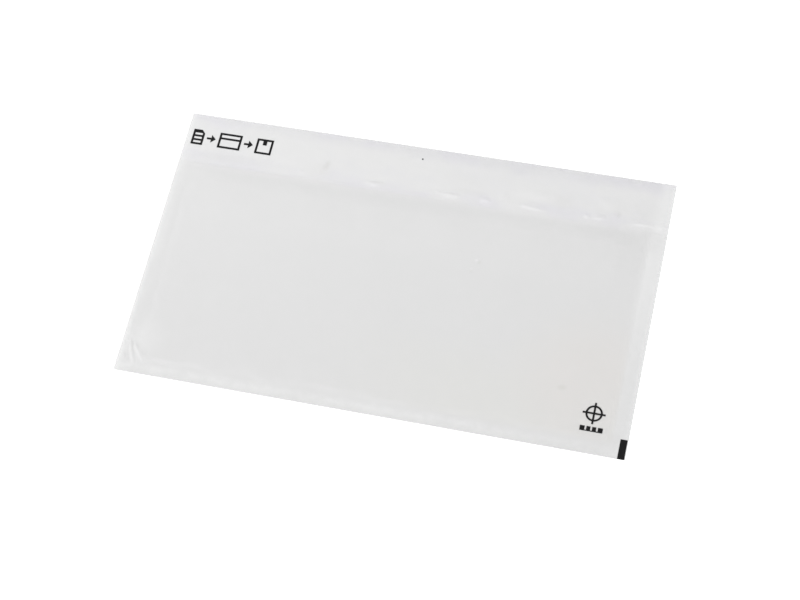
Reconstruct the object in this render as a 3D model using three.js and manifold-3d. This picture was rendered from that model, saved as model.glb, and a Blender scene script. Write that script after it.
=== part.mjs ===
// A self-adhesive packing list envelope: a flat pouch of two plastic films, made for one
// folded sheet of paper, with a sticky back under a release liner.
// Millimetres. X runs along the width, Y from the bottom seam towards the flap, and Z out of
// the face. The origin is the middle of the liner's underside.

import * as THREE from "three";
import Module from "manifold-3d";
import { mergeVertices } from "three/addons/utils/BufferGeometryUtils.js";

// The sheet, as cut.
const SHEET_WIDTH = 240;
const POUCH_HEIGHT = 113; // from the bottom edge to the pocket's mouth
const FLAP_HEIGHT = 27; // from the mouth to the top edge
const MOUTH_SLIT = 0.1; // the cut across the back that lets the paper in

// The layers' thicknesses, from the back to the face.
const LINER_THICKNESS = 0.06;
const ADHESIVE_THICKNESS = 0.02;
const BACK_FILM_THICKNESS = 0.05;
const FACE_FILM_THICKNESS = 0.05;
const INK_THICKNESS = 0.01;

// The welded seams, where the two films lie flat on each other.
const SIDE_SEAM = 7;
const BOTTOM_SEAM = 5.5;

// The pocket, where the face film stands a little clear of the back film.
const POCKET_LOFT = 0.15;
const POCKET_SHOULDER = 3; // the run from the seam up to the loft

// The ridge of slack film below the mouth, which runs out just above it.
const RIDGE_LEFT = 0.55; // its height at the left and at the right
const RIDGE_RIGHT = 1.05;
const RIDGE_FOOT = 34; // how far below the mouth it starts to rise
const RIDGE_CREST = 9.5; // how far below the mouth it is highest
const RIDGE_HEAD = 0.8; // how far above the mouth it ends
const RIDGE_END_RUN = 16; // the run over which it dies out towards each seam
const RIDGE_RIPPLE = 0.3; // the ripple's share of the ridge
const RIPPLE_PITCH = 36;
const TACK_LEFT = 1.2; // how far above the mouth the film is tacked down, left and right
const TACK_RIGHT = 4.8;

// The register mark, a black bar at the lower right corner.
const REGISTER_WIDTH = 3.2;
const REGISTER_HEIGHT = 9.5;
const REGISTER_INSET = 0.3;

// The small dot of ink near the top edge.
const DOT_RADIUS = 0.42;
const DOT_BELOW_TOP = 6.35;
const DOT_LEFT_OF_MIDDLE = 1.75;

// The row of pictograms on the flap: a page, an arrow, a pouch, an arrow and a parcel.
const SIGN_HEIGHT = 8.4;
const SIGN_STROKE = 1.1;
const SIGN_GAP = 1.5;
const SIGN_INSET = 3; // from the left edge
const PAGE_WIDTH = 6;
const PAGE_CORNER = 1.8;
const PAGE_LINES = 3;
const ARROW_LENGTH = 4.6;
const ARROW_HEAD = 2.4;
const ARROW_HEIGHT = 4.4;
const POUCH_SIGN_WIDTH = 11.5;
const POUCH_SIGN_FLAP = 1.4;
const PARCEL_WIDTH = 8.4;
const PARCEL_TAPE_WIDTH = 2;
const PARCEL_TAPE_LENGTH = 3.4;

// The printer's target on the pocket, a crossed ring over a row of patches.
const TARGET_RING = 3.9; // the ring's outer radius
const TARGET_REACH = 5.2; // from the centre to an arm's end
const TARGET_STROKE = 0.9;
const TARGET_INSET = 2; // from the flat of the pocket, at its right and bottom
const PATCH_ROW_WIDTH = 10.4;
const PATCH_ROW_HEIGHT = 2.4;
const PATCH_COUNT = 4;
const PATCH_GAP = 0.8;
const PATCH_FOOT = 0.5; // the strip that joins them
const PATCH_BELOW_TARGET = 1.2;

const MERGE_DISTANCE = 1e-4;

// What follows from them.
const sheetHeight = POUCH_HEIGHT + FLAP_HEIGHT;
const left = -SHEET_WIDTH / 2;
const right = SHEET_WIDTH / 2;
const bottom = -sheetHeight / 2;
const mouth = bottom + POUCH_HEIGHT;
const top = sheetHeight / 2;
const adhesiveTop = LINER_THICKNESS + ADHESIVE_THICKNESS;
const backFilmTop = adhesiveTop + BACK_FILM_THICKNESS;
const pocketLeft = left + SIDE_SEAM;
const pocketRight = right - SIDE_SEAM;
const pocketBottom = bottom + BOTTOM_SEAM;
const flapFace = adhesiveTop + FACE_FILM_THICKNESS;
const seamFace = backFilmTop + FACE_FILM_THICKNESS;
const pocketFace = seamFace + POCKET_LOFT;

const manifold = await Module();
manifold.setup();

const film = new THREE.MeshStandardMaterial({
  color: 0xe6e6e6,
  roughness: 0.35,
  transparent: true,
  opacity: 0.8,
});
const adhesive = new THREE.MeshStandardMaterial({ color: 0xe9e7de, roughness: 0.25 });
const liner = new THREE.MeshStandardMaterial({ color: 0xf0eee8, roughness: 0.6 });
const ink = new THREE.MeshStandardMaterial({ color: 0x1b1b1c, roughness: 0.5 });

const envelope = new THREE.Group();

function add(name, geometry, material) {
  const mesh = new THREE.Mesh(geometry, material);
  mesh.name = name;
  envelope.add(mesh);
  return mesh;
}

// A flat layer over the sheet's whole width, between two heights up the sheet.
function addLayer(name, low, high, underside, thickness, material) {
  const layer = add(name, new THREE.BoxGeometry(SHEET_WIDTH, high - low, thickness), material);
  layer.position.set(0, (low + high) / 2, underside + thickness / 2);
}

// A rise from 0 to 1 as t goes from a to b, level at both ends.
function rise(t, a, b) {
  return THREE.MathUtils.smoothstep(t, a, b);
}

// How far up the shoulders a point lies: 0 on a seam, 1 inside the pocket.
function insidePocket(x, y) {
  const fromLeft = rise(x, pocketLeft, pocketLeft + POCKET_SHOULDER);
  const fromRight = rise(-x, -pocketRight, POCKET_SHOULDER - pocketRight);
  const fromBottom = rise(y, pocketBottom, pocketBottom + POCKET_SHOULDER);
  return fromLeft * fromRight * fromBottom;
}

// The height above the mouth at which the flap is tacked down.
function tackLine(x) {
  return mouth + THREE.MathUtils.lerp(TACK_LEFT, TACK_RIGHT, rise(x, left, right));
}

// The ridge below the mouth: a long slope up from the pocket and a short one down to the flap.
function ridge(x, y) {
  const height = THREE.MathUtils.lerp(RIDGE_LEFT, RIDGE_RIGHT, rise(x, left, right));
  const ends = rise(x, pocketLeft, pocketLeft + RIDGE_END_RUN)
    * rise(-x, -pocketRight, RIDGE_END_RUN - pocketRight);
  const ripple = 1 - RIDGE_RIPPLE * (1 + Math.cos((2 * Math.PI * x) / RIPPLE_PITCH)) / 2;
  const crest = mouth - RIDGE_CREST;
  const upwards = rise(y, mouth - RIDGE_FOOT, crest);
  const downwards = 1 - rise(y, crest, mouth + RIDGE_HEAD);
  return height * ends * ripple * upwards * downwards;
}

// The pocket's loft, which runs out into the flap at the tack line.
function loft(x, y) {
  return POCKET_LOFT * insidePocket(x, y) * (1 - rise(y, mouth, tackLine(x)));
}

// The face film's underside: on the back film below the mouth, on the adhesive above it.
function undersideOfFace(x, y) {
  const seat = THREE.MathUtils.lerp(backFilmTop, adhesiveTop, rise(y, mouth, mouth + TACK_LEFT));
  return seat + loft(x, y) + ridge(x, y);
}

// Stations along a line, with a number of even steps in each stretch between two stops.
function stations(stops, steps) {
  const found = [stops[0]];
  steps.forEach((count, i) => {
    for (let k = 1; k <= count; k++) {
      found.push(THREE.MathUtils.lerp(stops[i], stops[i + 1], k / count));
    }
  });
  return found;
}

// The face film is one sheet, with its stations closest where it bends most.
function faceFilmGeometry() {
  const columns = stations(
    [
      left,
      pocketLeft,
      pocketLeft + POCKET_SHOULDER,
      pocketLeft + RIDGE_END_RUN,
      pocketRight - RIDGE_END_RUN,
      pocketRight - POCKET_SHOULDER,
      pocketRight,
      right,
    ],
    [1, 2, 5, 44, 5, 2, 1],
  );
  const rows = stations(
    [
      bottom,
      pocketBottom,
      pocketBottom + POCKET_SHOULDER,
      mouth - RIDGE_FOOT,
      mouth - RIDGE_CREST,
      mouth,
      mouth + TACK_RIGHT,
      top,
    ],
    [1, 2, 5, 9, 9, 8, 2],
  );
  const across = columns.length - 1;
  const up = rows.length - 1;
  const sheet = new THREE.BoxGeometry(across, up, FACE_FILM_THICKNESS, across, up, 1);
  const points = sheet.getAttribute("position");
  for (let i = 0; i < points.count; i++) {
    const x = columns[Math.round(points.getX(i) + across / 2)];
    const y = rows[Math.round(points.getY(i) + up / 2)];
    const upperSide = points.getZ(i) > 0 ? FACE_FILM_THICKNESS : 0;
    points.setXYZ(i, x, y, undersideOfFace(x, y) + upperSide);
  }
  sheet.computeVertexNormals();
  return sheet;
}

// A flat plate of ink as a solid that can be joined and cut.
function plate(shape, overshoot = 0) {
  const depth = INK_THICKNESS + 2 * overshoot;
  const drawn = new THREE.ExtrudeGeometry(shape, { depth, bevelEnabled: false, curveSegments: 16 });
  drawn.translate(0, 0, -overshoot);
  drawn.deleteAttribute("normal");
  drawn.deleteAttribute("uv");
  const merged = mergeVertices(drawn, MERGE_DISTANCE);
  const mesh = new manifold.Mesh({
    numProp: 3,
    vertProperties: merged.getAttribute("position").array,
    triVerts: new Uint32Array(merged.index.array),
  });
  return new manifold.Manifold(mesh);
}

// A plate with windows cut right through it.
function cutPlate(outline, windows) {
  return windows.reduce((solid, shape) => solid.subtract(plate(shape, INK_THICKNESS)), plate(outline));
}

// A mark of ink on the face film, with its own origin at x and y.
function addPrint(name, solid, x, y, face) {
  const { vertProperties, triVerts } = solid.getMesh();
  const geometry = new THREE.BufferGeometry();
  geometry.setAttribute("position", new THREE.BufferAttribute(vertProperties, 3));
  geometry.setIndex(new THREE.BufferAttribute(triVerts, 1));
  add(name, geometry, ink).position.set(x, y, face);
}

function rectangle(width, height, x = 0, y = 0) {
  return new THREE.Shape([
    new THREE.Vector2(x, y),
    new THREE.Vector2(x + width, y),
    new THREE.Vector2(x + width, y + height),
    new THREE.Vector2(x, y + height),
  ]);
}

function disc(radius) {
  return new THREE.Shape().absarc(0, 0, radius, 0, 2 * Math.PI, false);
}

// A page with one corner cut off and its lines left clear.
function pageSign() {
  const page = new THREE.Shape();
  page.moveTo(0, 0);
  page.lineTo(PAGE_WIDTH, 0);
  page.lineTo(PAGE_WIDTH, SIGN_HEIGHT - PAGE_CORNER);
  page.lineTo(PAGE_WIDTH - PAGE_CORNER, SIGN_HEIGHT);
  page.lineTo(0, SIGN_HEIGHT);
  page.closePath();
  const pitch = (SIGN_HEIGHT - PAGE_CORNER) / PAGE_LINES;
  const lineWidth = PAGE_WIDTH - 2 * SIGN_STROKE;
  const lines = [];
  for (let i = 0; i < PAGE_LINES; i++) {
    lines.push(rectangle(lineWidth, SIGN_STROKE, SIGN_STROKE, SIGN_STROKE + i * pitch));
  }
  return cutPlate(page, lines);
}

// An arrow that points right, centred on the signs' height.
function arrowSign() {
  const middle = SIGN_HEIGHT / 2;
  const neck = ARROW_LENGTH - ARROW_HEAD;
  const arrow = new THREE.Shape();
  arrow.moveTo(0, middle - SIGN_STROKE / 2);
  arrow.lineTo(neck, middle - SIGN_STROKE / 2);
  arrow.lineTo(neck, middle - ARROW_HEIGHT / 2);
  arrow.lineTo(ARROW_LENGTH, middle);
  arrow.lineTo(neck, middle + ARROW_HEIGHT / 2);
  arrow.lineTo(neck, middle + SIGN_STROKE / 2);
  arrow.lineTo(0, middle + SIGN_STROKE / 2);
  arrow.closePath();
  return plate(arrow);
}

// A pouch seen flat: its outline, its flap and its window.
function pouchSign() {
  const inside = POUCH_SIGN_WIDTH - 2 * SIGN_STROKE;
  const windowHeight = SIGN_HEIGHT - POUCH_SIGN_FLAP - 3 * SIGN_STROKE;
  const flapFoot = windowHeight + 2 * SIGN_STROKE;
  return cutPlate(rectangle(POUCH_SIGN_WIDTH, SIGN_HEIGHT), [
    rectangle(inside, windowHeight, SIGN_STROKE, SIGN_STROKE),
    rectangle(inside, POUCH_SIGN_FLAP, SIGN_STROKE, flapFoot),
  ]);
}

// A parcel with a strip of tape down from its top edge.
function parcelSign() {
  const inside = PARCEL_WIDTH - 2 * SIGN_STROKE;
  const insideHeight = SIGN_HEIGHT - 2 * SIGN_STROKE;
  const tapeLeft = (PARCEL_WIDTH - PARCEL_TAPE_WIDTH) / 2;
  const tapeFoot = SIGN_HEIGHT - PARCEL_TAPE_LENGTH;
  const walls = cutPlate(rectangle(PARCEL_WIDTH, SIGN_HEIGHT), [
    rectangle(inside, insideHeight, SIGN_STROKE, SIGN_STROKE),
  ]);
  return walls.add(plate(rectangle(PARCEL_TAPE_WIDTH, PARCEL_TAPE_LENGTH, tapeLeft, tapeFoot)));
}

// A ring with two bars crossed over its centre.
function targetSign() {
  const ring = cutPlate(disc(TARGET_RING), [disc(TARGET_RING - TARGET_STROKE)]);
  const half = TARGET_STROKE / 2;
  const level = rectangle(2 * TARGET_REACH, TARGET_STROKE, -TARGET_REACH, -half);
  const upright = rectangle(TARGET_STROKE, 2 * TARGET_REACH, -half, -TARGET_REACH);
  return ring.add(plate(level)).add(plate(upright));
}

// A row of ink patches joined along their foot.
function patchSign() {
  const pitch = PATCH_ROW_WIDTH / PATCH_COUNT;
  const gaps = [];
  for (let i = 1; i < PATCH_COUNT; i++) {
    gaps.push(rectangle(PATCH_GAP, PATCH_ROW_HEIGHT, i * pitch - PATCH_GAP / 2, PATCH_FOOT));
  }
  return cutPlate(rectangle(PATCH_ROW_WIDTH, PATCH_ROW_HEIGHT), gaps);
}

// The signs lie in one row, midway between the tack line and the top edge.
function addFlapSigns() {
  const signs = [
    ["page_print", pageSign(), PAGE_WIDTH],
    ["first_arrow_print", arrowSign(), ARROW_LENGTH],
    ["pouch_print", pouchSign(), POUCH_SIGN_WIDTH],
    ["second_arrow_print", arrowSign(), ARROW_LENGTH],
    ["parcel_print", parcelSign(), PARCEL_WIDTH],
  ];
  const widths = signs.reduce((sum, [, , width]) => sum + width, 0);
  const rowWidth = widths + SIGN_GAP * (signs.length - 1);
  const foot = (tackLine(left + SIGN_INSET + rowWidth) + top - SIGN_HEIGHT) / 2;
  let x = left + SIGN_INSET;
  for (const [name, solid, width] of signs) {
    addPrint(name, solid, x, foot, flapFace);
    x += width + SIGN_GAP;
  }
}

// The target and its patches lie in the pocket's lower right corner, where it is level.
function addPocketTarget() {
  const flatRight = pocketRight - POCKET_SHOULDER - TARGET_INSET;
  const flatBottom = pocketBottom + POCKET_SHOULDER + TARGET_INSET;
  const middle = flatRight - Math.max(TARGET_REACH, PATCH_ROW_WIDTH / 2);
  const centre = flatBottom + PATCH_ROW_HEIGHT + PATCH_BELOW_TARGET + TARGET_REACH;
  addPrint("patch_print", patchSign(), middle - PATCH_ROW_WIDTH / 2, flatBottom, pocketFace);
  addPrint("target_print", targetSign(), middle, centre, pocketFace);
}

const slitLow = mouth - MOUTH_SLIT / 2;
const slitHigh = mouth + MOUTH_SLIT / 2;
addLayer("pouch_liner", bottom, slitLow, 0, LINER_THICKNESS, liner);
addLayer("flap_liner", slitHigh, top, 0, LINER_THICKNESS, liner);
addLayer("pouch_adhesive", bottom, slitLow, LINER_THICKNESS, ADHESIVE_THICKNESS, adhesive);
addLayer("flap_adhesive", slitHigh, top, LINER_THICKNESS, ADHESIVE_THICKNESS, adhesive);
addLayer("back_film", bottom, slitLow, adhesiveTop, BACK_FILM_THICKNESS, film);
add("face_film", faceFilmGeometry(), film);

const register = plate(rectangle(REGISTER_WIDTH, REGISTER_HEIGHT));
addPrint("register_print", register, right - REGISTER_INSET - REGISTER_WIDTH, bottom, seamFace);
addPrint("dot_print", plate(disc(DOT_RADIUS)), -DOT_LEFT_OF_MIDDLE, top - DOT_BELOW_TOP, flapFace);
addFlapSigns();
addPocketTarget();

export default envelope;
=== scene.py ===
import math

import bmesh
import bpy
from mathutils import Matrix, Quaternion, Vector, noise


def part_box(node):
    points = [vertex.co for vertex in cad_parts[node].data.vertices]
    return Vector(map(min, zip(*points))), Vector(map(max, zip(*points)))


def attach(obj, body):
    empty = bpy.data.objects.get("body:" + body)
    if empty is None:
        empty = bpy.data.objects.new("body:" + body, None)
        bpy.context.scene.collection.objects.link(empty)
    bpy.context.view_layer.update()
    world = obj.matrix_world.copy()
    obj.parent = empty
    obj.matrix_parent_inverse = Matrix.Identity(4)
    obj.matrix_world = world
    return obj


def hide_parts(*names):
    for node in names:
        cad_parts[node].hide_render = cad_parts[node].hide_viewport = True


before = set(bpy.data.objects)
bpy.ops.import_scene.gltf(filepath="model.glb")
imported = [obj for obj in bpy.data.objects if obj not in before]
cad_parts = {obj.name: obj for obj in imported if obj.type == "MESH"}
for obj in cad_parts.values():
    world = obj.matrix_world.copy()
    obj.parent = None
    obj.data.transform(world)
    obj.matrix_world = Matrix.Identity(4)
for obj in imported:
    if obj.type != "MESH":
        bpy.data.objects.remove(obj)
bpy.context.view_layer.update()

MM = 0.001

# The sheet, as the frame has it.
SHEET_LOW, SHEET_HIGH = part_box("face_film")
LEFT, BOTTOM = SHEET_LOW.x, SHEET_LOW.y
RIGHT, TOP = SHEET_HIGH.x, SHEET_HIGH.y
MOUTH = (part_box("pouch_liner")[1].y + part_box("flap_liner")[0].y) / 2
BACK_FILM_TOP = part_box("back_film")[1].z
ADHESIVE_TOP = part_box("flap_adhesive")[1].z

# The face film's relief, as the solid has it.
FILM_THICKNESS = 0.05 * MM
SIDE_SEAM = 7 * MM
BOTTOM_SEAM = 5.5 * MM
POCKET_LOFT = 0.15 * MM
POCKET_SHOULDER = 3 * MM
RIDGE_LEFT = 0.55 * MM
RIDGE_RIGHT = 1.05 * MM
RIDGE_FOOT = 34 * MM
RIDGE_CREST = 9.5 * MM
RIDGE_HEAD = 0.8 * MM
RIDGE_END_RUN = 16 * MM
RIDGE_RIPPLE = 0.3
RIPPLE_PITCH = 36 * MM
TACK_LEFT = 1.2 * MM
TACK_RIGHT = 4.8 * MM
POCKET_LEFT = LEFT + SIDE_SEAM
POCKET_RIGHT = RIGHT - SIDE_SEAM
POCKET_BOTTOM = BOTTOM + BOTTOM_SEAM

# The film mesh, which keeps a hair's breadth off what it lies on, and the shares of its columns
# and rows that go to each stretch, given by where the stretch ends. A narrow strip all around
# keeps the shading flat up to the edge.
FILM_COLUMNS = 326
FILM_ROWS = 128
FILM_WALL = 0.04 * MM
EDGE_STRIP = 0.15 * MM
COLUMN_STOPS = [
    (0.0, LEFT),
    (1 / FILM_COLUMNS, LEFT + EDGE_STRIP),
    (0.12, LEFT + 15 * MM),
    (0.92, RIGHT - 15 * MM),
    (1 - 1 / FILM_COLUMNS, RIGHT - EDGE_STRIP),
    (1.0, RIGHT),
]
ROW_STOPS = [
    (0.0, BOTTOM),
    (1 / FILM_ROWS, BOTTOM + EDGE_STRIP),
    (0.26, BOTTOM + 20 * MM),
    (0.48, MOUTH - 12 * MM),
    (0.86, MOUTH + 8 * MM),
    (1 - 1 / FILM_ROWS, TOP - EDGE_STRIP),
    (1.0, TOP),
]

# Creases that stand up from the film, with a slope of its own on either side. In millimetres:
# across from the left edge, up from the bottom edge, length, run of the lower slope, run of the
# upper slope, height. Then the lean from level in degrees.
TACK_CREASES = [
    (61.5, 117.4, 4.0, 1.0, 0.6, 0.16, -2),
    (98.4, 116.7, 12.5, 2.0, 0.8, 0.50, 1),
    (129.3, 117.4, 3.2, 0.8, 0.6, 0.18, 0),
    (135.6, 116.9, 12.0, 1.3, 0.8, 0.48, 0),
    (152.3, 116.6, 6.5, 0.9, 2.0, 0.30, 3),
    (171.6, 117.3, 5.0, 1.0, 0.7, 0.22, 9),
    (175.6, 116.5, 14.0, 0.9, 2.4, 0.32, -3),
    (201.4, 116.6, 3.2, 0.9, 1.6, 0.30, -10),
    (207.0, 116.5, 8.0, 0.9, 2.0, 0.30, 4),
    (208.9, 117.8, 3.0, 0.8, 0.6, 0.11, 0),
    (215.3, 119.2, 4.2, 2.4, 1.6, 0.16, -6),
    (227.6, 116.4, 14.0, 0.9, 2.4, 0.30, 2),
    (236.4, 117.2, 7.0, 1.7, 1.5, 0.34, 4),
]
FLAP_CREASES = [
    (72.4, 121.6, 8.0, 1.6, 1.1, 0.28, 70),
    (178.0, 123.4, 12.0, 2.4, 2.0, 0.22, 8),
    (208.2, 125.8, 6.5, 2.6, 2.6, 0.20, 60),
    (161.2, 120.5, 6.0, 2.0, 1.6, 0.14, 50),
]
CORNER_CREASES = [
    (6.4, 9.9, 13.5, 0.8, 0.8, 0.38, -66),
    (4.6, 14.2, 6.0, 0.6, 0.7, 0.24, -72),
    (9.9, 10.0, 13.0, 0.7, 2.0, 0.22, -51),
    (7.5, 12.8, 5.5, 0.6, 0.9, 0.26, -53),
    (3.3, 7.2, 4.0, 0.7, 0.6, 0.12, -80),
    (3.9, 20.0, 6.0, 1.4, 1.4, 0.14, -75),
]

# How many of its slopes' runs a crease reaches to either side.
CREASE_REACH = 3

# Soft marks painted on the film, in millimetres across, up and in half thickness. Then how many times
# longer than thick each is, its lean in degrees, and its strength. The light ones are painted glints
# and highlights, the first five along the crests of the creases at the tack line, and a few are faint
# lighter patches. The dark ones are mostly painted shade by small wrinkles, creases and dents, and a
# few are faint darker patches.
PAINTED_HIGHLIGHTS = [
    (152.2, 116.4, 0.55, 4.0, 3, 0.36),
    (175.5, 116.1, 0.50, 11.0, -3, 0.42),
    (201.4, 116.2, 0.70, 1.3, 0, 0.46),
    (207.0, 116.2, 0.50, 6.0, 4, 0.46),
    (227.4, 116.2, 0.50, 10.0, 2, 0.44),
    (236.9, 116.5, 1.30, 1.0, 0, 0.22),
    (174.0, 122.8, 1.80, 4.5, 2, 0.20),
    (209.5, 124.0, 2.40, 1.2, 0, 0.16),
    (168.0, 109.0, 6.00, 5.0, 0, 0.15),
    (128.0, 3.0, 2.00, 4.0, 0, 0.14),
    (155.2, 84.8, 0.65, 1.0, 0, 0.45),
    (153.6, 80.2, 0.60, 1.0, 0, 0.20),
]
# Painted shade by small wrinkles, creases and dents, with a few faint darker patches.
PAINTED_SHADE_MARKS = [
    (72.6, 121.4, 1.40, 2.2, 75, 0.22),
    (70.5, 119.5, 4.00, 1.6, 0, 0.08),
    (22.5, 118.0, 2.20, 3.4, 0, 0.06),
    (141.0, 125.0, 4.00, 2.0, 0, 0.05),
    (188.5, 122.0, 3.00, 1.5, 0, 0.09),
    (222.0, 123.5, 4.00, 3.5, 0, 0.06),
    (145.0, 119.8, 1.40, 5.0, -2, 0.09),
    (215.4, 120.0, 1.40, 1.3, 0, 0.16),
    (231.0, 8.5, 2.50, 3.5, 0, 0.08),
    (206.2, 29.0, 1.10, 1.6, 8, 0.22),
    (156.6, 83.9, 0.80, 1.0, 0, 0.18),
    (153.9, 78.6, 0.70, 1.0, 0, 0.10),
]

MARK_SOFTNESS = 0.8

# Where print lies the film is flat. Each mark is given by the pieces of ink at its two ends, and
# the waves and creases fade in past a margin around it.
PRINT_NODES = [
    ("page_print", "parcel_print"),
    ("dot_print", "dot_print"),
    ("patch_print", "target_print"),
    ("register_print", "register_print"),
]
PRINT_MARGIN = 0.6 * MM
PRINT_FADE = 4 * MM

# Soft waves in the film, by where they lie, and the waver of the welds' inner edges. The seeds
# only have to differ.
NOISE_PEAK = 0.6
SHOULDER_LEAST = 1.2
WELD_WAVER = 3.5 * MM
WELD_WAVER_SIZE = (17 * MM, 15 * MM)
POCKET_WAVE = 0.16 * MM
POCKET_WAVE_SIZE = (26 * MM, 70 * MM)
FLAP_WAVE = 0.10 * MM
FLAP_WAVE_SIZE = (20 * MM, 12 * MM)
SEAM_WRINKLE = 0.05 * MM
SEAM_WRINKLE_SIZE = (11 * MM, 3 * MM)
POCKET_WAVE_LEAN = 0.2
POCKET_WAVE_FADE = 6 * MM
FLAP_WAVE_FADE = 4 * MM
FLAP_WAVE_TOP_FADE = 3 * MM
SEAM_WRINKLE_FADE = 4 * MM
WAVER_SEED = 5.7
SHOULDER_SEED = 3.1
POCKET_SEED = 2.3
FLAP_SEED = 7.9
SEAM_SEED = 4.1

# Runs over which the films and the glue change their tone, each as two distances from a line. For
# a name that ends in ACROSS it is the left edge, and for one that ends in UP the bottom edge. For
# the others it is the edge, the mouth or the pocket's foot that the name begins with.
POCKET_UP = (5 * MM, 105 * MM)
MOUTH_CHANGE = (-3.2 * MM, 0.8 * MM)
TOP_BAND = (-8 * MM, -2 * MM)
TOP_GLUE_BAND = (-8 * MM, -3 * MM)
TOP_BAND_ACROSS = (10 * MM, 150 * MM)
MOUTH_BAND = (2.5 * MM, 7 * MM)
MOUTH_BAND_FADE = 3 * MM
MOUTH_GLUE_BAND = (4 * MM, 8 * MM)
LEFT_FOOT_ACROSS = (38 * MM, 62 * MM)
RIGHT_FOOT_ACROSS = (172 * MM, 226 * MM)
RIGHT_FOOT_FADE = 12 * MM
YELLOW_UP = (24 * MM, 52 * MM)
YELLOW_ACROSS = (80 * MM, 175 * MM)

# The welds' runs, measured in the same way.
LEFT_WELD_WIDTH = 7 * MM
LEFT_WELD_HEAD_UP = (45 * MM, 85 * MM)
LEFT_WELD_FOOT_UP = (18 * MM, 30 * MM)
LEFT_EDGE_WIDTH = 3 * MM
POCKET_FOOT_WELD = (-2.5 * MM, 1.8 * MM)
BOTTOM_EDGE_WELD = (0.5 * MM, 3.5 * MM)
RIGHT_FAINTER = (-80 * MM, 0)
RIGHT_WELD_UP = (25 * MM, 95 * MM)
RIGHT_WELD = (-11.5 * MM, -6 * MM)
RIGHT_WELD_SET_BACK = 2.5 * MM
RIGHT_EDGE = (-2.5 * MM, 0)
RIGHT_OF_CASTS = (-9 * MM, -6 * MM)
POCKET_FOOT_CASTS = (0, 4 * MM)
MOUTH_FAINTER = (-10 * MM, 1 * MM)
MOUTH_FAINTER_FADE = 4 * MM

# Two wide spots, in millimetres across, up and in radius: the lighter patch above the lower left
# corner, and the warm light painted on the back film.
CORNER_PATCH = (8, 18, 8)
PAINTED_WARM_LIGHT = (216, 34, 26)

# The sizes of the patterns in the finishes.
FILM_GRAIN = 5 * MM
FILM_WOBBLE_SIZE = 14 * MM
FILM_WOBBLE = 6 * MM
FLAP_CLOUD_SIZE = 18 * MM
BACK_FILM_GRAIN = 3 * MM
CAST_WOBBLE_SIZE = 20 * MM
CAST_WOBBLE = 40 * MM
GLUE_WOBBLE_SIZE = 12 * MM
GLUE_WOBBLE = 12 * MM
GLUE_PATCH_SIZE = 14 * MM
GLUE_STREAK_SIZE = 6 * MM
PAPER_FIBRE_SIZE = 1.6 * MM
PAPER_CLOUD_SIZE = 24 * MM
INK_GRAIN = 0.5 * MM

# The camera, in the photograph's frame.
PHOTO_WIDTH = 800
FOCAL_PIXELS = 1848.8
SENSOR_WIDTH = 36
CAMERA_PLACE = Vector((0.1636, -0.3516, 0.7741))
CAMERA_TARGET = Vector((0.0042, -0.0114, 0.0))
CAMERA_ROLL = math.radians(-13.43)
CAMERA_NEAR = 0.05

# The floor, and lamps far enough off to light the whole sheet alike.
FLOOR_SIZE = 6.0
FLOOR_DROP = 0.1 * MM
FLOOR_LIFT = 0.52
FLOOR_COLOUR = (0.86, 0.86, 0.86, 1)
FLOOR_ROUGHNESS = 0.9
FLOOR_GLOSS = 0.1
WHITE = (1, 1, 1, 1)
WORLD_FILL = 0.55
KEY_PLACE = (-1.7, -2.15, 2.1)
KEY_SIZE = (1.2, 1.2)
KEY_POWER = 66.5
STRIP_PLACE = (-1.15, 0.17, 2.1)
STRIP_SIZE = (0.4, 1.6)
STRIP_POWER = 12.0


def srgb(red, green, blue):
    """A colour as a picture shows it, turned into the linear values a shader takes."""
    def linear(value):
        share = value / 255
        return share / 12.92 if share <= 0.04045 else ((share + 0.055) / 1.055) ** 2.4

    return (linear(red), linear(green), linear(blue), 1.0)


# The film's colours, among them painted shade and painted highlights, and those of what shows through
# it, among them painted warm and yellow light.
FILM_OPACITY = 0.3
POLYTHENE_IOR = 1.51
POCKET_COLOUR = srgb(239, 239, 239)
# Painted shade: the pocket darker to the right and towards its foot.
POCKET_FAR_SHADED = srgb(237, 237, 237)
POCKET_LOW_SHADED = srgb(233, 233, 233)
POCKET_LOW_FAR_SHADED = srgb(234, 234, 234)
FLAP_COLOUR = srgb(243, 243, 243)
# Painted shade: the flap darker to the right.
FLAP_FAR_SHADED = srgb(241, 241, 241)
FLAP_EDGE = srgb(235.5, 235.5, 236.5)
FLAP_CLOUD = srgb(239, 239, 241)
FLAP_FOOT = srgb(239, 239, 240)
WELD_COLOUR = srgb(248, 248, 248)
# Painted highlight, for the left and right edges and the light marks.
PAINTED_HIGHLIGHT_COLOUR = srgb(254, 254, 254)
# Painted shade.
PAINTED_SHADE_COLOUR = srgb(205, 203, 201)
BACK_FILM_COLOUR = srgb(238, 238, 238)
# Painted yellow light low down, and painted warm light on the right.
BACK_FILM_YELLOW_LIGHT = srgb(239, 239, 236)
BACK_FILM_WARM_LIGHT = srgb(240, 237, 234)
GLUE_COLOUR = srgb(243, 243, 243)
GLUE_VIOLET = srgb(239, 238, 242)
LINER_COLOUR = srgb(238, 235, 226)
LINER_FIBRE = srgb(228, 224, 212)
INK_COLOUR = srgb(18, 18, 19)
INK_WORN = srgb(28, 28, 30)


# Shapes.


def clamp(value):
    return min(max(value, 0.0), 1.0)


def rise(value, low, high):
    """From 0 to 1 as value goes from low to high, level at both ends."""
    share = clamp((value - low) / (high - low))
    return share * share * (3 - 2 * share)


def lerp(low, high, share):
    return low + (high - low) * share


def tack_line(x):
    """Where the film comes down on the adhesive, above the mouth."""
    return MOUTH + lerp(TACK_LEFT, TACK_RIGHT, rise(x, LEFT, RIGHT))


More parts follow.
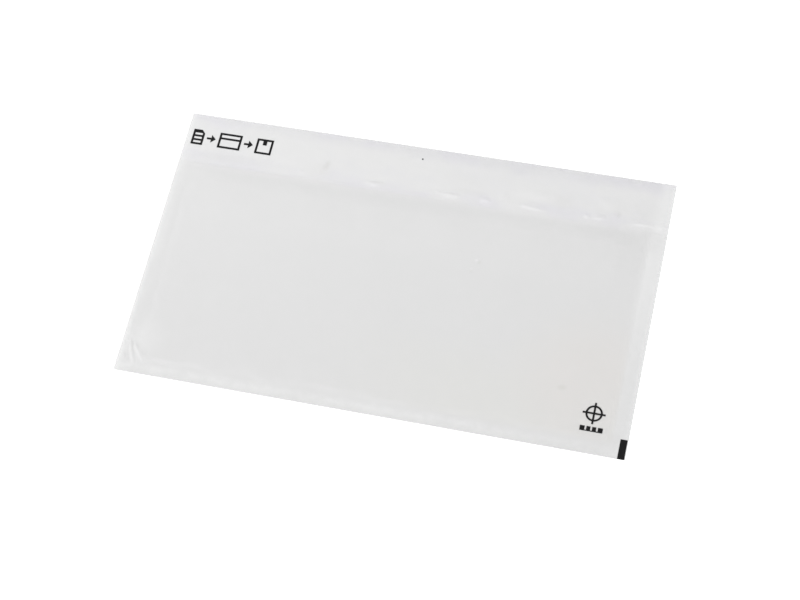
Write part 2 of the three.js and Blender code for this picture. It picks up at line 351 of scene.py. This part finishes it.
def inside_pocket(x, y):
    """0 on a seam and 1 inside the pocket. The shoulder wavers, but for the one on the right."""
    waver = WELD_WAVER * (wave(x, y, WELD_WAVER_SIZE, WAVER_SEED) - 0.5)
    run = POCKET_SHOULDER * (SHOULDER_LEAST + wave(x, y, WELD_WAVER_SIZE, SHOULDER_SEED))
    from_left = rise(x + waver, POCKET_LEFT, POCKET_LEFT + run)
    from_right = rise(-x, -POCKET_RIGHT, POCKET_SHOULDER - POCKET_RIGHT)
    return from_left * from_right * rise(y + waver, POCKET_BOTTOM, POCKET_BOTTOM + run)


def ridge(x, y):
    """The slack film below the mouth."""
    height = lerp(RIDGE_LEFT, RIDGE_RIGHT, rise(x, LEFT, RIGHT))
    from_left = rise(x, POCKET_LEFT, POCKET_LEFT + RIDGE_END_RUN)
    from_right = rise(-x, -POCKET_RIGHT, RIDGE_END_RUN - POCKET_RIGHT)
    ripple = 1 - RIDGE_RIPPLE * (1 + math.cos(2 * math.pi * x / RIPPLE_PITCH)) / 2
    crest = MOUTH - RIDGE_CREST
    upwards = rise(y, MOUTH - RIDGE_FOOT, crest)
    downwards = 1 - rise(y, crest, MOUTH + RIDGE_HEAD)
    return height * from_left * from_right * ripple * upwards * downwards


def loft(x, y):
    """The air in the pocket, which thins out between the mouth and the tack line."""
    return POCKET_LOFT * inside_pocket(x, y) * (1 - rise(y, MOUTH, tack_line(x)))


def seat(y):
    """What the film lies on: the back film below the mouth and the adhesive above it."""
    return lerp(BACK_FILM_TOP, ADHESIVE_TOP, rise(y, MOUTH, MOUTH + TACK_LEFT))


def crease(x, y, shape):
    """A low fold with tapering ends."""
    across, up, length, lower, upper, height, lean = shape
    dx = x - LEFT - across * MM
    dy = y - BOTTOM - up * MM
    turn = math.radians(lean)
    along = (dx * math.cos(turn) + dy * math.sin(turn)) / (length * MM / 2)
    beside = (dy * math.cos(turn) - dx * math.sin(turn)) / MM
    beside /= upper if beside > 0 else lower
    if abs(along) >= 1 or abs(beside) > CREASE_REACH:
        return 0.0
    return height * MM * (1 - along * along) ** 2 * math.exp(-beside * beside)


def wave(x, y, sizes, seed):
    """Smooth noise from 0 to 1, with its own pitch each way."""
    place = Vector((x / sizes[0], y / sizes[1], seed))
    return clamp(0.5 + 0.5 * noise.noise(place) / NOISE_PEAK)


def print_patches():
    """The rectangles that the marks of ink cover."""
    patches = []
    for first, last in PRINT_NODES:
        corners = [*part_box(first), *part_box(last)]
        low = Vector((min(c.x for c in corners), min(c.y for c in corners)))
        high = Vector((max(c.x for c in corners), max(c.y for c in corners)))
        patches.append(((low + high) / 2, (high - low) / 2))
    return patches


def clear_of_print(x, y, patches):
    """0 on and around a mark, 1 away from all of them."""
    free = 1.0
    for middle, half in patches:
        outside_x = max(abs(x - middle.x) - half.x - PRINT_MARGIN, 0)
        outside_y = max(abs(y - middle.y) - half.y - PRINT_MARGIN, 0)
        free *= rise(math.hypot(outside_x, outside_y), 0, PRINT_FADE)
    return free


def film_top(x, y, patches):
    """The face film's upper side."""
    base = seat(y) + loft(x, y) + ridge(x, y) + FILM_THICKNESS
    inside = inside_pocket(x, y) * (1 - rise(y, MOUTH - POCKET_WAVE_FADE, MOUTH))
    on_flap = rise(y, MOUTH + TACK_RIGHT, MOUTH + TACK_RIGHT + FLAP_WAVE_FADE)
    on_flap *= 1 - rise(y, TOP - FLAP_WAVE_TOP_FADE, TOP)
    on_seam = (1 - inside_pocket(x, y)) * (1 - rise(y, MOUTH - SEAM_WRINKLE_FADE, MOUTH))
    waves = POCKET_WAVE * inside * wave(x + POCKET_WAVE_LEAN * y, y, POCKET_WAVE_SIZE, POCKET_SEED)
    waves += FLAP_WAVE * on_flap * wave(x, y, FLAP_WAVE_SIZE, FLAP_SEED)
    waves += SEAM_WRINKLE * on_seam * wave(x, y, SEAM_WRINKLE_SIZE, SEAM_SEED)
    folds = sum(crease(x, y, shape) for shape in TACK_CREASES + FLAP_CREASES + CORNER_CREASES)
    return base + (waves + folds) * clear_of_print(x, y, patches)


def station(stops, share):
    """The place a share of the way along stops of (share, place)."""
    for (share_low, low), (share_high, high) in zip(stops, stops[1:]):
        if share <= share_high:
            return lerp(low, high, (share - share_low) / (share_high - share_low))
    return stops[-1][1]


def make_face_film():
    """One sheet over the whole size, with its rows closest along the bottom seam and the mouth."""
    patches = print_patches()
    sheet = bmesh.new()
    bmesh.ops.create_grid(sheet, x_segments=FILM_COLUMNS, y_segments=FILM_ROWS, size=0.5)
    for vertex in sheet.verts:
        x = station(COLUMN_STOPS, clamp(vertex.co.x + 0.5))
        y = station(ROW_STOPS, clamp(vertex.co.y + 0.5))
        vertex.co = Vector((x, y, film_top(x, y, patches)))
    film = finished(sheet, "face_sheet")
    wall = film.modifiers.new("film wall", "SOLIDIFY")
    wall.thickness = FILM_WALL
    wall.offset = -1
    return film


def finished(mesh, name):
    """A smooth-shaded piece from a bmesh, with its faces pointing outwards."""
    data = bpy.data.meshes.new(name)
    bmesh.ops.recalc_face_normals(mesh, faces=mesh.faces)
    if sum(face.normal.z for face in mesh.faces) < 0:
        bmesh.ops.reverse_faces(mesh, faces=mesh.faces)
    mesh.to_mesh(data)
    mesh.free()
    data.shade_smooth()
    piece = bpy.data.objects.new(name, data)
    bpy.context.collection.objects.link(piece)
    return piece


# Materials.


# The Mix node's sockets for colours, which share their names with those for numbers.
MIX_SHARE = 0
MIX_FIRST = 6
MIX_SECOND = 7
MIX_RESULT = 2


class Finish:
    """A node material, built up a node at a time."""

    def __init__(self, name):
        self.material = bpy.data.materials.new(name)
        self.material.use_nodes = True
        self.tree = self.material.node_tree
        self.shader = self.tree.nodes["Principled BSDF"]
        self.place = self.node("ShaderNodeTexCoord").outputs["Object"]
        axes = self.node("ShaderNodeSeparateXYZ")
        self.join(self.place, axes.inputs[0])
        self.x = axes.outputs["X"]
        self.y = axes.outputs["Y"]

    def node(self, kind, **settings):
        """A new node with its settings."""
        made = self.tree.nodes.new(kind)
        for key, value in settings.items():
            setattr(made, key, value)
        return made

    def join(self, value, socket):
        """Links a socket to another, or sets a plain value on it."""
        if isinstance(value, bpy.types.NodeSocket):
            self.tree.links.new(value, socket)
        else:
            socket.default_value = value

    def set(self, name, value):
        """Gives the shader a socket's link or value."""
        self.join(value, self.shader.inputs[name])

    def maths(self, operation, first, second=0.0):
        made = self.node("ShaderNodeMath", operation=operation)
        self.join(first, made.inputs[0])
        self.join(second, made.inputs[1])
        return made.outputs[0]

    def times(self, first, second):
        return self.maths("MULTIPLY", first, second)

    def plus(self, first, second):
        return self.maths("ADD", first, second)

    def ramp(self, value, low, high, start=0.0, end=1.0):
        """A smooth change from start to end as value goes from low to high."""
        made = self.node("ShaderNodeMapRange", interpolation_type="SMOOTHSTEP")
        for name, entry in (
            ("Value", value),
            ("From Min", low),
            ("From Max", high),
            ("To Min", start),
            ("To Max", end),
        ):
            self.join(entry, made.inputs[name])
        return made.outputs["Result"]

    def run(self, value, line, ends, start=0.0, end=1.0):
        """A ramp whose ends are distances from a line."""
        return self.ramp(value, line + ends[0], line + ends[1], start, end)

    def band(self, value, line, ends, fade):
        """1 between two distances from a line, fading to 0 on both sides."""
        low, high = line + ends[0], line + ends[1]
        upward = self.ramp(value, low - fade / 2, low + fade / 2)
        downward = self.ramp(value, high - fade / 2, high + fade / 2, 1.0, 0.0)
        return self.times(upward, downward)

    def noise(self, size, detail=2.0, rough=0.5, stretch=(1, 1, 1)):
        """Noise whose cells are about size across, in metres."""
        mapping = self.node("ShaderNodeMapping")
        self.join(self.place, mapping.inputs["Vector"])
        mapping.inputs["Scale"].default_value = [s / size for s in stretch]
        made = self.node("ShaderNodeTexNoise")
        self.join(mapping.outputs[0], made.inputs["Vector"])
        self.join(1.0, made.inputs["Scale"])
        self.join(detail, made.inputs["Detail"])
        self.join(rough, made.inputs["Roughness"])
        return made.outputs["Fac"]

    def wobble(self, size, reach):
        """A distance that wanders by up to half its reach either way."""
        centred = self.maths("SUBTRACT", self.noise(size, detail=3.0), 0.5)
        return self.times(centred, reach)

    def blend(self, share, first, second):
        """A colour between two."""
        made = self.node("ShaderNodeMix", data_type="RGBA")
        self.join(share, made.inputs[MIX_SHARE])
        self.join(first, made.inputs[MIX_FIRST])
        self.join(second, made.inputs[MIX_SECOND])
        return made.outputs[MIX_RESULT]

    def spot(self, across, up, radius, softness, stretch=1.0, lean=0.0):
        """1 in a round or drawn-out spot, in millimetres from the lower left corner, and 0 off it."""
        mapping = self.node("ShaderNodeMapping", vector_type="TEXTURE")
        self.join(self.place, mapping.inputs["Vector"])
        mapping.inputs["Location"].default_value = (LEFT + across * MM, BOTTOM + up * MM, 0)
        mapping.inputs["Rotation"].default_value = (0, 0, math.radians(lean))
        mapping.inputs["Scale"].default_value = (radius * stretch * MM, radius * MM, 1)
        distance = self.node("ShaderNodeVectorMath", operation="LENGTH")
        self.join(mapping.outputs[0], distance.inputs[0])
        return self.ramp(distance.outputs["Value"], 1 - softness, 1 + softness, 1.0, 0.0)

    def bump(self, height, strength, depth):
        made = self.node("ShaderNodeBump")
        self.join(height, made.inputs["Height"])
        self.join(strength, made.inputs["Strength"])
        self.join(depth, made.inputs["Distance"])
        self.join(made.outputs[0], self.shader.inputs["Normal"])


def pocket_tone_and_shade(film, across):
    """The pocket's colour with painted shade: darker to the right and, most of all on the left,
    towards its foot.
    """
    upper = film.blend(across, POCKET_COLOUR, POCKET_FAR_SHADED)
    lower = film.blend(across, POCKET_LOW_SHADED, POCKET_LOW_FAR_SHADED)
    return film.blend(film.run(film.y, BOTTOM, POCKET_UP), lower, upper)


def flap_tone(film, across, wobble):
    """The flap is lighter and a little cloudy, but for a band along its top edge and its foot."""
    # Painted shade: the flap darker to the right.
    flap = film.blend(across, FLAP_COLOUR, FLAP_FAR_SHADED)
    clouds = film.noise(FLAP_CLOUD_SIZE, stretch=(0.8, 1.3, 1))
    flap = film.blend(film.ramp(clouds, 0.45, 0.62, start=0.0, end=0.4), flap, FLAP_CLOUD)
    height = film.plus(film.y, wobble)
    near_top = film.run(height, TOP, TOP_BAND)
    to_right = film.run(film.x, LEFT, TOP_BAND_ACROSS, start=0.3, end=1.0)
    flap = film.blend(film.times(near_top, to_right), flap, FLAP_EDGE)
    near_foot = film.band(height, MOUTH, MOUTH_BAND, MOUTH_BAND_FADE)
    on_left = film.run(film.x, LEFT, LEFT_FOOT_ACROSS, start=1.0, end=0.0)
    on_right = film.band(film.x, LEFT, RIGHT_FOOT_ACROSS, RIGHT_FOOT_FADE)
    near_foot = film.times(near_foot, film.plus(on_left, on_right))
    return film.blend(near_foot, flap, FLAP_FOOT)


def with_left_weld(film, body, wobble):
    """The weld on the left fades inwards from a painted highlight along the edge and is strongest at
    both ends.
    """
    share = film.run(film.y, BOTTOM, LEFT_WELD_HEAD_UP, start=0.3, end=0.85)
    foot = film.run(film.y, BOTTOM, LEFT_WELD_FOOT_UP, start=0.6, end=0.0)
    share = film.maths("MAXIMUM", share, foot)
    weld = film.run(film.plus(film.x, wobble), LEFT, (0, LEFT_WELD_WIDTH), start=share, end=0.0)
    corner_patch = film.times(film.spot(*CORNER_PATCH, softness=0.9), 0.4)
    body = film.blend(film.maths("MAXIMUM", weld, corner_patch), body, WELD_COLOUR)
    # A painted highlight along the left edge.
    edge = film.run(film.x, LEFT, (0, LEFT_EDGE_WIDTH), start=0.8, end=0.0)
    return film.blend(edge, body, PAINTED_HIGHLIGHT_COLOUR)


def with_foot_weld(film, body, wobble, grain):
    """The weld at the foot is mottled, darker along the edge and fainter on the right."""
    height = film.plus(film.y, film.times(wobble, 0.5))
    weld = film.run(height, POCKET_BOTTOM, POCKET_FOOT_WELD, start=1.0, end=0.0)
    weld = film.times(weld, film.run(film.y, BOTTOM, BOTTOM_EDGE_WELD, start=0.4, end=1.1))
    weld = film.times(weld, film.run(film.x, RIGHT, RIGHT_FAINTER, start=1.0, end=0.4))
    weld = film.times(weld, film.ramp(grain, 0.3, 0.7, start=0.25, end=0.65))
    return film.blend(weld, body, WELD_COLOUR)


def with_right_weld(film, body, above_mouth):
    """The weld on the right fades downwards, and is narrower and fainter on the flap. A painted
    highlight runs along the edge.
    """
    share = film.run(film.y, BOTTOM, RIGHT_WELD_UP, start=0.25, end=0.95)
    at_mouth = film.band(film.y, MOUTH, MOUTH_FAINTER, MOUTH_FAINTER_FADE)
    share = film.times(share, film.ramp(above_mouth, 0.0, 1.0, start=1.0, end=0.78))
    share = film.times(share, film.ramp(at_mouth, 0.0, 1.0, start=1.0, end=0.7))
    set_back = film.times(above_mouth, RIGHT_WELD_SET_BACK)
    weld = film.run(film.maths("SUBTRACT", film.x, set_back), RIGHT, RIGHT_WELD, end=share)
    body = film.blend(weld, body, WELD_COLOUR)
    # A painted highlight along the right edge.
    edge = film.run(film.x, RIGHT, RIGHT_EDGE, start=0.0, end=0.45)
    return film.blend(edge, body, PAINTED_HIGHLIGHT_COLOUR)


def with_marks(film, body, marks, colour):
    """The film's colour with soft marks of another painted over it: painted shade in one colour,
    painted highlights in another.
    """
    for across, up, thick, stretch, lean, strength in marks:
        mark = film.spot(across, up, thick, MARK_SOFTNESS, stretch, lean)
        body = film.blend(film.times(mark, strength), body, colour)
    return body


def face_film_finish():
    """Clear polythene gone milky: greyer over the open pocket, lighter where it is welded."""
    film = Finish("milky clear film")
    grain = film.noise(FILM_GRAIN, detail=4.0, rough=0.6)
    wobble = film.wobble(FILM_WOBBLE_SIZE, FILM_WOBBLE)
    across = film.ramp(film.x, LEFT, RIGHT)
    above_mouth = film.run(film.y, MOUTH, MOUTH_CHANGE)

    body = film.blend(above_mouth, pocket_tone_and_shade(film, across), flap_tone(film, across, wobble))
    body = with_left_weld(film, body, wobble)
    body = with_foot_weld(film, body, wobble, grain)
    body = with_right_weld(film, body, above_mouth)
    # Painted shade by small wrinkles, creases and dents, then painted glints and highlights.
    body = with_marks(film, body, PAINTED_SHADE_MARKS, PAINTED_SHADE_COLOUR)
    body = with_marks(film, body, PAINTED_HIGHLIGHTS, PAINTED_HIGHLIGHT_COLOUR)

    film.set("Base Color", body)
    film.set("Roughness", film.ramp(grain, 0.25, 0.75, start=0.28, end=0.34))
    film.set("IOR", POLYTHENE_IOR)
    film.set("Alpha", FILM_OPACITY)
    film.bump(grain, strength=0.2, depth=0.004 * MM)
    return film.material


def back_film_finish():
    """The film behind the pocket, with a faint yellow light painted low down and a warm one painted
    on the right.
    """
    film = Finish("back film")
    wobble = film.wobble(CAST_WOBBLE_SIZE, CAST_WOBBLE)
    # Painted yellow light, low down.
    low = film.run(film.plus(film.y, wobble), BOTTOM, YELLOW_UP, start=1.0, end=0.0)
    yellow = film.run(film.x, LEFT, YELLOW_ACROSS)
    off_right = film.run(film.x, RIGHT, RIGHT_OF_CASTS, start=1.0, end=0.0)
    off_welds = film.times(film.run(film.y, POCKET_BOTTOM, POCKET_FOOT_CASTS), off_right)
    yellow = film.times(film.times(low, yellow), off_welds)
    body = film.blend(yellow, BACK_FILM_COLOUR, BACK_FILM_YELLOW_LIGHT)
    # Painted warm light on the right.
    warm = film.times(film.spot(*PAINTED_WARM_LIGHT, softness=0.6), off_welds)
    film.set("Base Color", film.blend(warm, body, BACK_FILM_WARM_LIGHT))
    film.set("Roughness", 0.4)
    film.set("IOR", POLYTHENE_IOR)
    film.bump(film.noise(BACK_FILM_GRAIN, detail=3.0), strength=0.2, depth=0.01 * MM)
    return film.material


def adhesive_finish():
    """Clear glue, faintly violet where the film has not wetted out on it."""
    glue = Finish("pressure-sensitive glue")
    height = glue.plus(glue.y, glue.wobble(GLUE_WOBBLE_SIZE, GLUE_WOBBLE))
    patches = glue.noise(GLUE_PATCH_SIZE, stretch=(0.7, 1.2, 1))
    patchy = glue.ramp(patches, 0.44, 0.58, start=0.1, end=1.0)
    near_top = glue.run(height, TOP, TOP_GLUE_BAND)
    near_foot = glue.run(height, MOUTH, MOUTH_GLUE_BAND, start=1.0, end=0.0)
    violet = glue.times(glue.maths("MAXIMUM", near_top, near_foot), patchy)
    glue.set("Base Color", glue.blend(violet, GLUE_COLOUR, GLUE_VIOLET))
    streaks = glue.noise(GLUE_STREAK_SIZE, detail=3.0, stretch=(0.2, 1, 1))
    glue.set("Roughness", glue.ramp(streaks, 0.3, 0.7, start=0.3, end=0.4))
    glue.bump(streaks, strength=0.2, depth=0.02 * MM)
    return glue.material


def liner_finish():
    """Smooth release paper with a faint fibre."""
    paper = Finish("release paper")
    fibre = paper.noise(PAPER_FIBRE_SIZE, detail=5.0, rough=0.65, stretch=(0.35, 1, 1))
    cloud = paper.noise(PAPER_CLOUD_SIZE, detail=3.0)
    cloudy = paper.ramp(cloud, 0.2, 0.8, start=0.4, end=0.9)
    share = paper.times(paper.ramp(fibre, 0.35, 0.75), cloudy)
    paper.set("Base Color", paper.blend(share, LINER_COLOUR, LINER_FIBRE))
    paper.set("Roughness", paper.ramp(fibre, 0.3, 0.7, start=0.42, end=0.55))
    paper.bump(fibre, strength=0.3, depth=0.02 * MM)
    return paper.material


def ink_finish():
    """Black printing ink, a little thin in places."""
    ink = Finish("black printing ink")
    thin = ink.ramp(ink.noise(INK_GRAIN, detail=3.0, rough=0.6), 0.5, 0.8)
    ink.set("Base Color", ink.blend(thin, INK_COLOUR, INK_WORN))
    ink.set("Roughness", ink.ramp(thin, 0.0, 1.0, start=0.42, end=0.55))
    ink.set("Specular IOR Level", 0.12)
    ink.bump(thin, strength=0.15, depth=0.005 * MM)
    return ink.material


def dress(piece, material):
    """Gives a piece one material all over."""
    piece.data.materials.clear()
    piece.data.materials.append(material)


# Floor, light and camera.


def background_rays(tree):
    """1 for rays that see the background: the camera's, and those that mirror or pass."""
    path = tree.nodes.new("ShaderNodeLightPath")
    first = tree.nodes.new("ShaderNodeMath")
    first.operation = "MAXIMUM"
    second = tree.nodes.new("ShaderNodeMath")
    second.operation = "MAXIMUM"
    tree.links.new(path.outputs["Is Camera Ray"], first.inputs[0])
    tree.links.new(path.outputs["Is Glossy Ray"], first.inputs[1])
    tree.links.new(first.outputs[0], second.inputs[0])
    tree.links.new(path.outputs["Is Transmission Ray"], second.inputs[1])
    return second.outputs[0]


def make_floor():
    """A white floor that shows white to the camera and still takes the shadow."""
    grid = bmesh.new()
    bmesh.ops.create_grid(grid, x_segments=1, y_segments=1, size=FLOOR_SIZE / 2)
    for vertex in grid.verts:
        vertex.co.z = -FLOOR_DROP
    floor = finished(grid, "floor")
    material = bpy.data.materials.new("white floor")
    material.use_nodes = True
    tree = material.node_tree
    shader = tree.nodes["Principled BSDF"]
    shader.inputs["Base Color"].default_value = FLOOR_COLOUR
    shader.inputs["Roughness"].default_value = FLOOR_ROUGHNESS
    shader.inputs["Specular IOR Level"].default_value = FLOOR_GLOSS
    lift = tree.nodes.new("ShaderNodeMath")
    lift.operation = "MULTIPLY"
    lift.inputs[1].default_value = FLOOR_LIFT
    tree.links.new(background_rays(tree), lift.inputs[0])
    shader.inputs["Emission Color"].default_value = WHITE
    tree.links.new(lift.outputs[0], shader.inputs["Emission Strength"])
    dress(floor, material)


def make_world():
    """Even light from all around, and plain white where the camera sees past the floor."""
    world = bpy.data.worlds.new("studio")
    bpy.context.scene.world = world
    world.use_nodes = True
    tree = world.node_tree
    background = tree.nodes["Background"]
    background.inputs["Color"].default_value = WHITE
    level = tree.nodes.new("ShaderNodeMapRange")
    level.inputs["To Min"].default_value = WORLD_FILL
    level.inputs["To Max"].default_value = 1.0
    tree.links.new(background_rays(tree), level.inputs["Value"])
    tree.links.new(level.outputs["Result"], background.inputs["Strength"])


def make_lamp(name, place, size, power):
    """A soft box that faces the sheet."""
    light = bpy.data.lights.new(name, "AREA")
    light.shape = "RECTANGLE"
    light.size, light.size_y = size
    light.energy = power
    lamp = bpy.data.objects.new(name, light)
    lamp.location = place
    lamp.rotation_euler = (-Vector(place)).to_track_quat("-Z", "Y").to_euler()
    bpy.context.collection.objects.link(lamp)


def make_camera():
    """The camera at the photograph's viewing angle."""
    view = bpy.data.cameras.new("camera")
    view.sensor_width = SENSOR_WIDTH
    view.lens = FOCAL_PIXELS * SENSOR_WIDTH / PHOTO_WIDTH
    view.clip_start = CAMERA_NEAR
    camera = bpy.data.objects.new("camera", view)
    aim = (CAMERA_TARGET - CAMERA_PLACE).to_track_quat("-Z", "Y")
    camera.location = CAMERA_PLACE
    camera.rotation_euler = (aim @ Quaternion((0, 0, 1), CAMERA_ROLL)).to_euler()
    bpy.context.collection.objects.link(camera)
    bpy.context.scene.camera = camera


def make_envelope():
    """The face film takes a finer sheet, and the other pieces keep their solids."""
    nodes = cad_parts
    face = make_face_film()
    dress(face, face_film_finish())
    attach(face, "root")
    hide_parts("face_film")

    dress(nodes["back_film"], back_film_finish())
    glue = adhesive_finish()
    paper = liner_finish()
    ink = ink_finish()
    for part in ("pouch", "flap"):
        dress(nodes[part + "_adhesive"], glue)
        dress(nodes[part + "_liner"], paper)
    for name, node in nodes.items():
        if name.endswith("_print"):
            dress(node, ink)


make_camera()
make_world()
make_lamp("key", KEY_PLACE, KEY_SIZE, KEY_POWER)
make_lamp("strip", STRIP_PLACE, STRIP_SIZE, STRIP_POWER)
make_floor()
make_envelope()
bpy.context.scene.view_settings.view_transform = "Standard"
